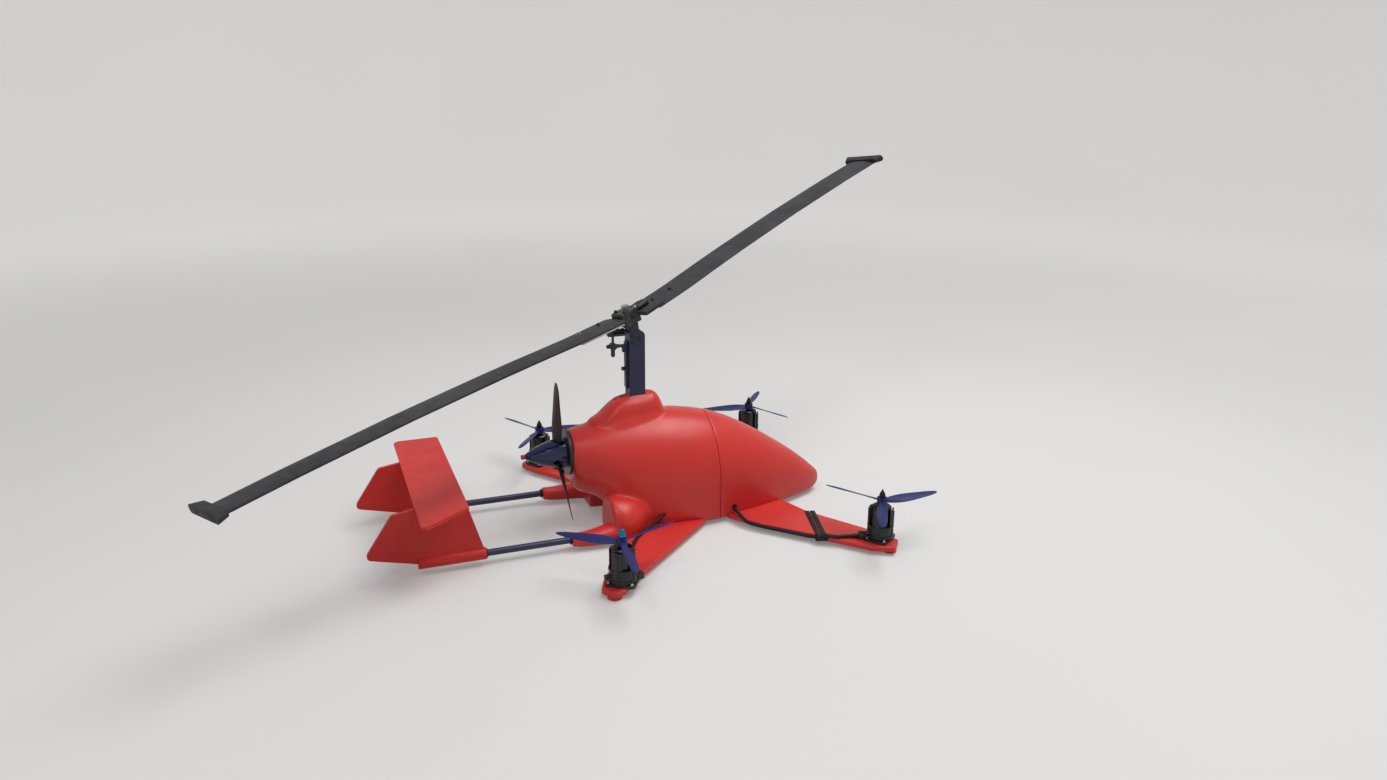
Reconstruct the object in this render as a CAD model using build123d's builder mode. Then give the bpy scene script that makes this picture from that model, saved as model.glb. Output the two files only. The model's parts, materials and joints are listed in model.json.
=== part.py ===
from build123d import *
import os
from math import cos, radians, sin, tan

os.makedirs("parts", exist_ok=True)

# Frame: nose along +X, port side along +Y, up +Z, millimetres. The floor is at zero, below the mast.

# Fuselage pod, from the pusher ring at the tail to the tip of the nose
belly_height = 5.0
belly_trim = 1.5
pod_length = 345.0
pod_height = 134.5
pod_half_width = 67.5
ring_x = -92.0
ring_height = 93.5
ring_radius = 30.0
seam_x = 85.0
seam_gap = 0.3

# Mast fairing on the pod's back, with a slot behind the mast
fairing_rear_x = -68.0
fairing_length = 104.0
fairing_base = 118.0
fairing_height = 46.5
fairing_half_width = 34.0
slot_width = 9.0
slot_length = 20.0
slot_depth = 10.0

# Mast, a box column that stands in the fairing
mast_length = 20.0
mast_width = 18.0
mast_center_x = -4.5
mast_foot = 140.0
mast_nose_radius = 7.0
rail_width = 7.0
rail_depth = 3.0
rail_bottom = 170.0
rail_drop = 13.0

# Main rotor: the spindle leans back, and each blade is coned up from the disc
spindle_tilt = 15.4
rotor_hub_x = -14.0
rotor_hub_height = 260.0
rotor_azimuth = 25.9
rotor_radius = 526.0
rotor_coning = 3.5
spindle_radius = 3.0
spindle_nut_radius = 5.0
spindle_nut_height = 4.0
running_clearance = 0.05
head_rise = 17.0
head_width = 16.0
head_gap = 1.0
hub_block_length = 26.0
hub_block_width = 22.0
hub_block_bottom = 9.0
hub_block_top = 8.0
hub_block_round = 3.0
hub_bar_length = 168.0
hub_bar_width = 24.0
hub_bar_thickness = 2.4
hub_waist_length = 34.0
hub_waist_width = 16.0
blade_chord = 42.8
blade_lead = 15.3
blade_thickness = 5.2
blade_nose = 4.0
blade_tail = 1.0
blade_bow = 3.6
cap_length = 12.0
cap_root_chord = 54.0
cap_root_thickness = 7.0
cap_tip_chord = 66.0
cap_tip_thickness = 9.5
cap_shift = -3.6
cap_rise = 1.0

# Control linkage behind the mast
horn_reach = 26.0
horn_width = 8.0
horn_thickness = 3.0
link_radius = 1.5
link_length = 28.0
link_ball_radius = 4.6
link_ball_width = 6.0
link_ball_drop = 16.0
link_arm_width = 5.0
link_arm_thickness = 3.0
link_arm_drop = 8.0
link_arm_round = 3.0

# Pusher motor and propeller
pusher_height = 96.0
pusher_plate_radius = 28.0
pusher_plate_thickness = 3.5
pusher_motor_radius = 24.0
pusher_motor_depth = 14.0
pusher_gap = 2.0
pusher_shaft_radius = 2.5
pusher_shaft_reach = 18.0
pusher_shaft_socket = 2.0
spinner_radius = 18.5
spinner_length = 50.0
spinner_tip_radius = 2.4
spinner_tip_length = 2.8
pusher_hub_radius = 9.0
pusher_hub_length = 17.0
pusher_prop_radius = 93.5
pusher_blade_setback = 9.5
spinner_slot_length = 19.0
spinner_slot_width = 6.5
pusher_first_blade = 97.0

# Arms: flat plates from the pod to the lift motors
arm_thickness = 6.0
motor_side = 192.5
front_motor_x = 237.5
rear_motor_x = -83.5
arm_edge_round = 1.6
arm_corner = 4.0
foot_radius = 8.0
front_arm_heading = 53.0
rear_arm_heading = 123.0

# Lift motors in slotted cups
cup_radius = 14.5
cup_wall = 1.8
cup_floor = 3.0
cup_height = 40.0
cup_slot_width = 9.0
cup_slot_height = 21.0
cup_base_length = 34.0
cup_base_width = 28.0
cup_base_corner = 4.0
terminal_length = 12.0
terminal_width = 10.0
terminal_height = 7.0
stator_base_height = 3.0
stator_radius = 9.6
stator_height = 31.0
bell_clearance = 1.0
bell_wall = 1.5
bell_lift = 2.0
bell_height = 35.0
bell_collar_radius = 4.0
bell_collar_height = 2.0
lift_shaft_radius = 2.0
lift_shaft_length = 50.0
knob_radius = 2.6
knob_reach = 7.0
knob_height = 10.0

# Lift propellers
lift_prop_radius = 76.2
lift_hub_radius = 6.0
lift_hub_length = 8.0
nut_radius = 3.6
nut_grip = 4.0
nut_height = 11.0

# Motor cables
cable_radius = 2.2
cable_gap = 0.1
cable_run_out = 12.0
cable_bend_share = 0.45

# Tail: two booms, two fins and a stabiliser across them
boom_radius = 4.0
boom_side = 75.0
boom_height = 14.0
boom_insert = 28.0
socket_radius = 8.0
socket_end_x = -110.0
fin_front_x = -210.0
fin_sleeve_length = 76.0
fin_sleeve_radius = 7.0
fin_height = 75.0
fin_foot = 8.5
fin_thickness = 5.0
fin_sweep = 22.0
fin_top_length = 79.0
fin_rear_overhang = 32.0
fin_rear_drop = 48.0
fin_corner = 5.0
stab_incidence = 9.0
stab_chord = 54.0
stab_front_half_span = 119.5
stab_rear_half_span = 142.5
stab_thickness = 4.2
stab_corner = 6.0

# Columns: share of the pod's length, half width, bottom, top, shoulder and corner radius. Widths are
# shares of the pod's half width, and heights are shares of its height above the belly.
POD_SECTIONS = [
    (0.074, 0.615, 0.275, 0.920, 0.575, 0.530),
    (0.137, 0.750, 0.140, 0.952, 0.500, 0.520),
    (0.211, 0.870, 0.000, 0.980, 0.410, 0.330),
    (0.319, 0.970, 0.000, 1.000, 0.350, 0.230),
    (0.433, 1.000, 0.000, 0.976, 0.320, 0.165),
    (0.504, 0.980, 0.000, 0.940, 0.300, 0.150),
    (0.604, 0.895, 0.000, 0.850, 0.270, 0.150),
    (0.718, 0.745, 0.000, 0.694, 0.225, 0.150),
    (0.832, 0.545, 0.000, 0.506, 0.180, 0.150),
    (0.923, 0.340, 0.004, 0.332, 0.138, 0.125),
    (0.974, 0.190, 0.020, 0.218, 0.115, 0.085),
    (1.000, 0.075, 0.065, 0.158, 0.110, 0.045),
]
# Columns: share of the fairing's length, base half width, top half width, shoulder and top. Widths
# are shares of the fairing's half width, and heights are shares of its height above its base.
FAIRING_SECTIONS = [
    (0.00, 0.40, 0.28, 0.08, 0.20),
    (0.14, 0.75, 0.50, 0.22, 0.45),
    (0.29, 0.92, 0.60, 0.38, 0.74),
    (0.50, 1.00, 0.62, 0.50, 0.94),
    (0.73, 1.00, 0.60, 0.53, 1.00),
    (0.83, 0.94, 0.54, 0.50, 0.98),
    (0.90, 0.84, 0.46, 0.38, 0.80),
    (1.00, 0.66, 0.34, 0.16, 0.42),
]
# Columns: x, side, half width, top, shoulder and corner radius of the fairing round a boom socket
SOCKET_SECTIONS = [
    (-84.0, 74.0, 12.0, 22.0, 14.0, 7.0),
    (-58.0, 71.5, 14.5, 26.0, 15.0, 8.0),
    (-36.0, 66.0, 18.0, 28.0, 15.0, 8.0),
]
# Columns: x, side, half width, top, shoulder and corner radius of the hump between pod and socket
SHOULDER_SECTIONS = [
    (-58.0, 54.0, 27.0, 52.0, 22.0, 8.0),
    (-37.0, 54.0, 31.0, 50.0, 24.0, 9.0),
    (-18.0, 47.0, 25.0, 46.0, 24.0, 9.0),
    (3.0, 38.0, 17.0, 38.0, 20.0, 8.0),
]
# Columns: whether the corner is placed from the arm's motor, then its x and its side
FRONT_ARM = [
    (False, 84.0, 30.0),
    (False, 172.0, 20.0),
    (False, 194.0, 90.0),
    (True, -2.0, -35.0),
    (True, 20.0, 10.0),
    (True, 4.0, 29.0),
    (True, -20.0, 17.0),
    (False, 170.0, 154.0),
    (False, 123.0, 104.0),
    (False, 100.0, 70.0),
]
REAR_ARM = [
    (False, -20.0, 30.0),
    (False, 76.0, 40.0),
    (False, 64.0, 67.0),
    (False, -38.0, 161.0),
    (True, 14.0, -2.0),
    (True, -2.0, 17.0),
    (True, -14.0, 23.0),
    (True, -26.0, 6.0),
    (True, -16.0, -18.0),
    (False, -62.0, 120.0),
    (False, -38.0, 76.0),
]
# Columns: radius, chord, pitch and thickness, in shares of the propeller's radius, and degrees
LIFT_BLADE = [
    (0.050, 0.080, 32, 0.032),
    (0.180, 0.135, 29, 0.025),
    (0.400, 0.180, 22, 0.019),
    (0.680, 0.155, 15, 0.016),
    (0.900, 0.105, 11, 0.013),
    (1.000, 0.040, 10, 0.009),
]
PUSHER_BLADE = [
    (0.070, 0.120, 42, 0.036),
    (0.240, 0.165, 35, 0.028),
    (0.480, 0.185, 27, 0.021),
    (0.750, 0.150, 20, 0.016),
    (0.930, 0.110, 16, 0.012),
    (1.000, 0.045, 14, 0.008),
]
# Columns: name, side of the pod, motor x, rest angle of the first blade, turning sense
LIFT_UNITS = [
    ("front_right", -1, front_motor_x, 1.0, 1),
    ("rear_right", -1, rear_motor_x, 23.0, -1),
    ("rear_left", 1, rear_motor_x, -3.0, 1),
    ("front_left", 1, front_motor_x, 54.0, -1),
]
# Terminal blocks beside the cups: x and side from the motor, and the way their cables leave
FRONT_TERMINAL = (-17.8, -7.9, 203.0)
REAR_TERMINAL = (18.5, -5.6, 253.0)
# Feet under the arms' tips: x and side from the motor
FRONT_FOOT = (6.0, 14.0)
REAR_FOOT = (-12.5, 10.0)
# Columns: name, sense along the rotor's line, and radius where the blade starts
ROTOR_BLADES = [
    ("a", 1, 31.0),
    ("b", -1, 17.0),
]
# Columns: share of the way from the hub bar's end to the tip cap, and share of the blade's upward bow
BLADE_BOW = [
    (0.16, 0.53),
    (0.27, 0.78),
    (0.54, 1.00),
    (0.83, 0.56),
    (1.00, 0.00),
]
# Motor cables, out of the pod's flank and along the arm to the terminals on the motor's cup.
# Columns: x, side and height of each corner on the way
FRONT_CABLE = [
    (104.0, 54.0, 20.0),
    (104.5, 76.0, 15.8),
    (110.0, 92.0, 8.6),
    (121.0, 105.7, 8.2),
    (144.6, 130.8, 8.0),
    (167.9, 155.9, 8.0),
    (180.0, 169.5, 13.9),
    (190.0, 175.5, 13.4),
]
REAR_CABLE = [
    (22.0, 56.0, 29.0),
    (4.0, 68.0, 21.0),
    (-14.0, 74.5, 13.6),
    (-31.0, 88.5, 13.3),
    (-44.0, 109.0, 13.3),
    (-53.5, 128.5, 13.3),
    (-62.0, 148.0, 13.3),
]

arm_top = belly_height + arm_thickness
mast_top = rotor_hub_height - head_rise
rail_top = mast_top - rail_drop
rail_x = mast_center_x - mast_length / 2
spinner_x = ring_x - pusher_plate_thickness - pusher_gap
spindle_axis = Vector(-sin(radians(spindle_tilt)), 0, cos(radians(spindle_tilt)))
disc_forward = Vector(cos(radians(spindle_tilt)), 0, sin(radians(spindle_tilt)))
rotor_hub_point = Vector(rotor_hub_x, 0, rotor_hub_height)


def put(part, name):
    """Labels a finished piece and writes it."""
    part.label = name
    export_step(part, f"parts/{name}.step")


def arch_loft(rows):
    """Lofts flat-bottomed arches. Each row is x, side, half width, bottom, top, shoulder, corner."""
    with BuildPart() as form:
        for x, side, half, bottom, top, shoulder, corner in rows:
            with BuildSketch(Plane(origin=(x, side, 0), x_dir=(0, 1, 0), z_dir=(1, 0, 0))):
                with BuildLine():
                    Line((corner - half, bottom), (half - corner, bottom))
                    CenterArc((half - corner, bottom + corner), corner, 270, 90)
                    Line((half, bottom + corner), (half, shoulder))
                    EllipticalCenterArc((0, shoulder), half, top - shoulder, 0, arc_size=180)
                    Line((-half, shoulder), (-half, bottom + corner))
                    CenterArc((corner - half, bottom + corner), corner, 180, 90)
                make_face()
        loft()
    return form.part


def twisted_blade(hub, axis, radial, tip_radius, stations, turn):
    """Lofts a blade through lens sections that twist from root to tip."""
    forward = axis.cross(radial) * turn
    with BuildPart() as blade:
        for radius, chord, pitch, thickness in stations:
            chordwise = forward * cos(radians(pitch)) + axis * sin(radians(pitch))
            place = Plane(hub + radial * (radius * tip_radius), chordwise, radial)
            nose, tail = 0.4 * chord * tip_radius, -0.6 * chord * tip_radius
            upper, lower = 0.65 * thickness * tip_radius * turn, -0.35 * thickness * tip_radius * turn
            with BuildSketch(place):
                with BuildLine():
                    ThreePointArc((tail, 0), (0, upper), (nose, 0))
                    ThreePointArc((nose, 0), (0, lower), (tail, 0))
                make_face()
        loft()
    return blade.part


# Pod, drawn whole with its sections a little low, then trimmed flat below and cut at the seam
pod_loft = arch_loft(
    [
        (
            ring_x,
            0,
            ring_radius,
            ring_height - ring_radius,
            ring_height + ring_radius,
            ring_height,
            0.98 * ring_radius,
        )
    ]
    + [
        (
            ring_x + along * pod_length,
            0,
            half * pod_half_width,
            belly_height - belly_trim + bottom * pod_height,
            belly_height + top * pod_height,
            belly_height + shoulder * pod_height,
            corner * pod_half_width,
        )
        for along, half, bottom, top, shoulder, corner in POD_SECTIONS
    ]
)
with BuildPart() as pod_trimmed:
    add(pod_loft)
    split(bisect_by=Plane.XY.offset(belly_height), keep=Keep.TOP)
pod_form = pod_trimmed.part

# Fairing round the mast, with straight flanks and a rounded ridge
with BuildPart() as fairing_form:
    for along, base, half, shoulder, top in FAIRING_SECTIONS:
        wide, narrow = base * fairing_half_width, half * fairing_half_width
        low = fairing_base + shoulder * fairing_height
        rise = (top - shoulder) * fairing_height
        station = fairing_rear_x + along * fairing_length
        with BuildSketch(Plane(origin=(station, 0, 0), x_dir=(0, 1, 0), z_dir=(1, 0, 0))):
            with BuildLine():
                Line((-wide, fairing_base), (wide, fairing_base))
                Line((wide, fairing_base), (narrow, low))
                EllipticalCenterArc((0, low), narrow, rise, 0, arc_size=180)
                Line((-narrow, low), (-wide, fairing_base))
            make_face()
    loft()

# Shoulders, one each side: a fairing round the boom's socket, and a hump that joins it to the pod
socket_lofts = [
    arch_loft(
        [
            (
                socket_end_x,
                sense * boom_side,
                socket_radius,
                boom_height - socket_radius,
                boom_height + socket_radius,
                boom_height,
                0.97 * socket_radius,
            )
        ]
        + [
            (x, sense * side, half, belly_height - belly_trim, top, shoulder, corner)
            for x, side, half, top, shoulder, corner in SOCKET_SECTIONS
        ]
    )
    for sense in (-1, 1)
]
hump_lofts = [
    arch_loft(
        [
            (x, sense * side, half, belly_height - belly_trim, top, shoulder, corner)
            for x, side, half, top, shoulder, corner in SHOULDER_SECTIONS
        ]
    )
    for sense in (-1, 1)
]
with BuildPart() as shoulders_trimmed:
    add(socket_lofts)
    add(hump_lofts)
    split(bisect_by=Plane.XY.offset(belly_height), keep=Keep.TOP)
shoulder_forms = shoulders_trimmed.part

with BuildPart() as fuselage_rear:
    add(pod_form)
    split(bisect_by=Plane(origin=(seam_x, 0, 0), z_dir=(1, 0, 0)), keep=Keep.BOTTOM)
    add(fairing_form.part)
    add(shoulder_forms)
    with BuildSketch(Plane(origin=(ring_x, 0, pusher_height), z_dir=(1, 0, 0))):
        Circle(pusher_motor_radius)
    extrude(amount=pusher_motor_depth, mode=Mode.SUBTRACT)
    with BuildSketch(Plane.XY.offset(mast_foot)):
        with Locations((mast_center_x, 0)):
            Rectangle(mast_length, mast_width)
    extrude(amount=mast_top - mast_foot, mode=Mode.SUBTRACT)
    slot_top = fairing_base + fairing_height
    with BuildSketch(Plane.XY.offset(slot_top - slot_depth)):
        with Locations((rail_x - slot_length / 2, 0)):
            Rectangle(slot_length, slot_width)
    extrude(amount=2 * slot_depth, mode=Mode.SUBTRACT)
    for sense in (-1, 1):
        with BuildSketch(Plane(origin=(socket_end_x, sense * boom_side, boom_height), z_dir=(1, 0, 0))):
            Circle(boom_radius)
        extrude(amount=boom_insert, mode=Mode.SUBTRACT)
put(fuselage_rear.part, "fuselage_rear")

with BuildPart() as nose_shell:
    add(pod_form)
    split(bisect_by=Plane(origin=(seam_x + seam_gap, 0, 0), z_dir=(1, 0, 0)), keep=Keep.TOP)
put(nose_shell.part, "nose_shell")

# Mast with a rounded front top corner, and a cable rail up its back
with BuildPart() as mast:
    with BuildSketch(Plane.XY.offset(mast_foot)):
        with Locations((mast_center_x, 0)):
            Rectangle(mast_length, mast_width)
    extrude(amount=mast_top - mast_foot)
    fillet(mast.edges().filter_by(Axis.Y).group_by(Axis.Z)[-1].sort_by(Axis.X)[-1], mast_nose_radius)
put(mast.part, "mast")

with BuildPart() as mast_rail:
    with BuildSketch(Plane.XY.offset(rail_bottom)):
        with Locations((rail_x - rail_depth / 2, 0)):
            Rectangle(rail_depth, rail_width)
    extrude(amount=rail_top - rail_bottom)
    chamfer(mast_rail.edges().filter_by(Axis.Y).group_by(Axis.X)[0], rail_depth / 2)
put(mast_rail.part, "mast_rail")

# Rotor head: a wedge on the mast's top that carries the leaning spindle
head_top = rotor_hub_point - spindle_axis * (hub_block_bottom + head_gap)
head_half = mast_length / 2 - 1
with BuildPart() as rotor_head:
    with BuildSketch(Plane.XZ):
        with BuildLine():
            Polyline(
                (rail_x, mast_top),
                (mast_center_x + mast_length / 2 - mast_nose_radius, mast_top),
                (head_top.X + head_half * disc_forward.X, head_top.Z + head_half * disc_forward.Z),
                (head_top.X - head_half * disc_forward.X, head_top.Z - head_half * disc_forward.Z),
                close=True,
            )
        make_face()
    extrude(amount=head_width / 2, both=True)
put(rotor_head.part, "rotor_head")

spindle_top = hub_block_top + 2 * head_gap + spindle_nut_height
with BuildPart() as rotor_spindle:
    with BuildSketch(Plane(head_top, (0, 1, 0), spindle_axis)):
        Circle(spindle_radius)
    extrude(amount=hub_block_bottom + head_gap + spindle_top)
    nut_seat = rotor_hub_point + spindle_axis * (hub_block_top + 2 * head_gap)
    with BuildSketch(Plane(nut_seat, (0, 1, 0), spindle_axis)):
        RegularPolygon(spindle_nut_radius, 6)
    extrude(amount=spindle_nut_height)
put(rotor_spindle.part, "rotor_spindle")

# Control linkage: horn on the mast, link with its ball, and the curved arm that steadies it
horn_end = rail_x - horn_reach
link_x = horn_end + horn_width
with BuildPart() as control_horn:
    with BuildSketch(Plane.XY.offset(mast_top - horn_thickness)):
        with BuildLine():
            Polyline(
                (rail_x, -horn_width / 2),
                (rail_x, horn_width / 2),
                (link_x, horn_width / 2),
                (horn_end, 0),
                (link_x, -horn_width / 2),
                close=True,
            )
        make_face()
    extrude(amount=horn_thickness)
put(control_horn.part, "control_horn")

with BuildPart() as control_link:
    with BuildSketch(Plane.XZ.shift_origin((link_x, 0, mast_top - horn_thickness))):
        with BuildLine():
            Line((0, 0), (link_radius * 2, 0))
            Line((link_radius * 2, 0), (link_radius, -link_radius * 2))
            Line((link_radius, -link_radius * 2), (link_radius, link_radius - link_length))
            Line((link_radius, link_radius - link_length), (0, -link_length))
            Line((0, -link_length), (0, 0))
        make_face()
    revolve(axis=Axis((link_x, 0, 0), (0, 0, 1)))
    with BuildSketch(Plane.XZ.shift_origin((link_x, 0, mast_top - horn_thickness - link_ball_drop))):
        Circle(link_ball_radius)
    extrude(amount=link_ball_width / 2, both=True)
put(control_link.part, "control_link")

arm_level = mast_top - horn_thickness - link_ball_drop
arm_root = rail_x - rail_depth
arm_far = link_x + link_ball_radius
arm_high, arm_low = arm_level + link_arm_thickness / 2, arm_level - link_arm_thickness / 2
bend_x = arm_root - link_arm_thickness - link_arm_round
with BuildPart() as link_arm:
    with BuildSketch(Plane.XZ):
        with BuildLine():
            Polyline((bend_x, arm_low), (arm_far, arm_low), (arm_far, arm_high), (arm_root, arm_high))
            Polyline(
                (arm_root, arm_high),
                (arm_root, arm_level - link_arm_drop),
                (arm_root - link_arm_thickness, arm_level - link_arm_drop),
                (arm_root - link_arm_thickness, arm_low - link_arm_round),
            )
            CenterArc((bend_x, arm_low - link_arm_round), link_arm_round, 0, 90)
        make_face()
    extrude(amount=link_arm_width / 2, both=True)
put(link_arm.part, "link_arm")

# Main rotor: hub block on the spindle, coned bar through it, two blades and their tip caps
blade_line = disc_forward * cos(radians(rotor_azimuth)) + Vector(0, 1, 0) * sin(radians(rotor_azimuth))
bar_plane = Plane(rotor_hub_point, blade_line, -spindle_axis.cross(blade_line))
bar_rise = hub_bar_length / 2 * tan(radians(rotor_coning))
bar_top = -blade_thickness / 2 / cos(radians(rotor_coning))
with BuildPart() as hub_bar:
    with BuildSketch(bar_plane):
        with BuildLine():
            Polyline(
                (0, bar_top),
                (hub_bar_length / 2, bar_rise + bar_top),
                (hub_bar_length / 2, bar_rise + bar_top - hub_bar_thickness),
                (0, bar_top - hub_bar_thickness),
                (-hub_bar_length / 2, bar_rise + bar_top - hub_bar_thickness),
                (-hub_bar_length / 2, bar_rise + bar_top),
                close=True,
            )
        make_face()
    extrude(amount=hub_bar_width / 2, both=True)
    with BuildSketch(Plane(rotor_hub_point, blade_line, spindle_axis)):
        Circle(spindle_radius + running_clearance)
        for sense in (-1, 1):
            with Locations((0, sense * (hub_waist_width + hub_bar_width) / 2)):
                Rectangle(hub_waist_length, hub_bar_width)
    extrude(amount=hub_block_bottom, both=True, mode=Mode.SUBTRACT)
put(hub_bar.part, "hub_bar")

with BuildPart() as hub_block:
    with BuildSketch(Plane(rotor_hub_point - spindle_axis * hub_block_bottom, blade_line, spindle_axis)):
        RectangleRounded(hub_block_length, hub_block_width, hub_block_round)
        Circle(spindle_radius + running_clearance, mode=Mode.SUBTRACT)
    extrude(amount=hub_block_bottom + hub_block_top)
    add(hub_bar.part, mode=Mode.SUBTRACT)
put(hub_block.part, "hub_block")

bar_end = hub_bar_length / 2 / cos(radians(rotor_coning))
cap_start = rotor_radius - cap_length
for name, sense, blade_root in ROTOR_BLADES:
    outward = blade_line * (sense * cos(radians(rotor_coning))) + spindle_axis * sin(radians(rotor_coning))
    across = spindle_axis.cross(blade_line) * sense
    nose, tail = blade_lead, blade_lead - blade_chord
    round_start = nose - blade_nose / 2
    low, high = -blade_thickness / 2, blade_thickness / 2
    stations = [(blade_root, 0), (bar_end, 0)] + [
        (bar_end + along * (cap_start - bar_end), bow * blade_bow) for along, bow in BLADE_BOW
    ]
    with BuildPart() as rotor_blade:
        for radius, lift in stations:
            place = Plane(rotor_hub_point + outward * radius + spindle_axis * lift, across, outward)
            with BuildSketch(place):
                with BuildLine():
                    Line((tail, low), (round_start, low))
                    ThreePointArc((round_start, low), (nose, low + blade_nose / 2), (round_start, low + blade_nose))
                    ThreePointArc((round_start, low + blade_nose), (0, high), (tail, low + blade_tail))
                    Line((tail, low + blade_tail), (tail, low))
                make_face()
        loft(ruled=True)
    put(rotor_blade.part, f"rotor_blade_{name}")
    with BuildPart() as tip_cap:
        for radius, chord, thickness in (
            (cap_start, cap_root_chord, cap_root_thickness),
            (rotor_radius, cap_tip_chord, cap_tip_thickness),
        ):
            with BuildSketch(Plane(rotor_hub_point + outward * radius + spindle_axis * cap_rise, across, outward)):
                with Locations((cap_shift, 0)):
                    SlotOverall(chord, thickness)
        loft()
    put(tip_cap.part, f"blade_tip_{name}")

# Pusher motor set in the tail ring, and the propeller that turns on its shaft
with BuildPart() as pusher_motor:
    with BuildSketch(Plane(origin=(ring_x, 0, pusher_height), z_dir=(-1, 0, 0))):
        Circle(pusher_plate_radius)
    extrude(amount=pusher_plate_thickness)
    with BuildSketch(Plane(origin=(ring_x, 0, pusher_height), z_dir=(1, 0, 0))):
        Circle(pusher_motor_radius)
    extrude(amount=pusher_motor_depth)
    with BuildSketch(Plane(origin=(ring_x - pusher_plate_thickness, 0, pusher_height), z_dir=(1, 0, 0))):
        Circle(pusher_shaft_radius + running_clearance)
    extrude(amount=pusher_plate_thickness + pusher_motor_depth - pusher_shaft_socket, mode=Mode.SUBTRACT)
put(pusher_motor.part, "pusher_motor")

pusher_axis = Vector(-1, 0, 0)
pusher_hub_point = Vector(spinner_x - pusher_blade_setback, 0, pusher_height)
shaft_start = ring_x + pusher_motor_depth - 2 * pusher_shaft_socket
with BuildPart() as pusher_shaft:
    with BuildSketch(Plane(origin=(shaft_start, 0, pusher_height), z_dir=(-1, 0, 0))):
        Circle(pusher_shaft_radius)
    extrude(amount=shaft_start - spinner_x + pusher_shaft_reach)
put(pusher_shaft.part, "pusher_shaft")

with BuildPart() as pusher_prop:
    with BuildSketch(Plane(origin=(spinner_x, 0, pusher_height), z_dir=(-1, 0, 0))):
        Circle(pusher_hub_radius)
    extrude(amount=pusher_hub_length)
    for turn_index in range(3):
        lean = radians(pusher_first_blade + 120 * turn_index)
        add(
            twisted_blade(
                pusher_hub_point,
                pusher_axis,
                Vector(0, cos(lean), sin(lean)),
                pusher_prop_radius,
                PUSHER_BLADE,
                1,
            )
        )
    add(pusher_shaft.part, mode=Mode.SUBTRACT)
put(pusher_prop.part, "pusher_prop")

with BuildPart() as spinner:
    with BuildSketch(Plane((spinner_x, 0, pusher_height), (-1, 0, 0), (0, 1, 0))):
        with BuildLine():
            Line((0, 0), (0, spinner_radius))
            ThreePointArc(
                (0, spinner_radius),
                (0.55 * spinner_length, 0.7 * spinner_radius),
                (spinner_length, spinner_tip_radius / 2),
            )
            Line((spinner_length, spinner_tip_radius / 2), (spinner_length, 0))
            Line((spinner_length, 0), (0, 0))
        make_face()
    revolve(axis=Axis((spinner_x, 0, pusher_height), (1, 0, 0)))
    with BuildSketch(Plane(origin=(spinner_x, 0, pusher_height), z_dir=(-1, 0, 0))):
        Circle(pusher_hub_radius)
    extrude(amount=pusher_hub_length, mode=Mode.SUBTRACT)
    add(pusher_shaft.part, mode=Mode.SUBTRACT)
    for turn_index in range(3):
        lean = radians(pusher_first_blade + 120 * turn_index)
        radial = Vector(0, cos(lean), sin(lean))
        pitch = radians((PUSHER_BLADE[0][2] + PUSHER_BLADE[1][2]) / 2)
        chordwise = pusher_axis.cross(radial) * cos(pitch) + pusher_axis * sin(pitch)
        with BuildSketch(Plane(pusher_hub_point, chordwise, radial)):
            with Locations((-0.1 * spinner_slot_length, 0)):
                Rectangle(spinner_slot_length, spinner_slot_width)
        extrude(amount=2 * spinner_radius, mode=Mode.SUBTRACT)
put(spinner.part, "spinner")

with BuildPart() as spinner_tip:
    with BuildSketch(Plane((spinner_x - spinner_length, 0, pusher_height), (0, 1, 0), (-1, 0, 0))):
        Circle(spinner_tip_radius)
    extrude(amount=spinner_tip_length)
    fillet(spinner_tip.edges().group_by(Axis.X)[0], 0.8 * spinner_tip_radius)
put(spinner_tip.part, "spinner_tip")

# Arms, each cut to fit the pod and the shoulders, with a foot under its tip
for name, sense, motor_x, first_blade, turn in LIFT_UNITS:
    front = motor_x == front_motor_x
    corners = FRONT_ARM if front else REAR_ARM
    foot_x, foot_side = FRONT_FOOT if front else REAR_FOOT
    outline = [
        (motor_x + x, sense * (motor_side + side)) if from_motor else (x, sense * side)
        for from_motor, x, side in corners
    ]
    with BuildPart() as arm:
        with BuildSketch(Plane.XY.offset(belly_height)) as outline_sketch:
            with BuildLine():
                Polyline(outline, close=True)
            make_face()
            fillet(outline_sketch.vertices(), arm_corner)
        extrude(amount=arm_thickness)
        fillet(arm.faces().sort_by(Axis.Z)[-1].edges(), arm_edge_round)
        with BuildSketch():
            with Locations((motor_x + foot_x, sense * (motor_side + foot_side))):
                Circle(foot_radius)
        extrude(amount=belly_height)
        add(pod_form, mode=Mode.SUBTRACT)
        add(shoulder_forms, mode=Mode.SUBTRACT)
    put(Part(arm.part.solids().sort_by(SortBy.VOLUME)[-1].wrapped), f"arm_{name}")

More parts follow.
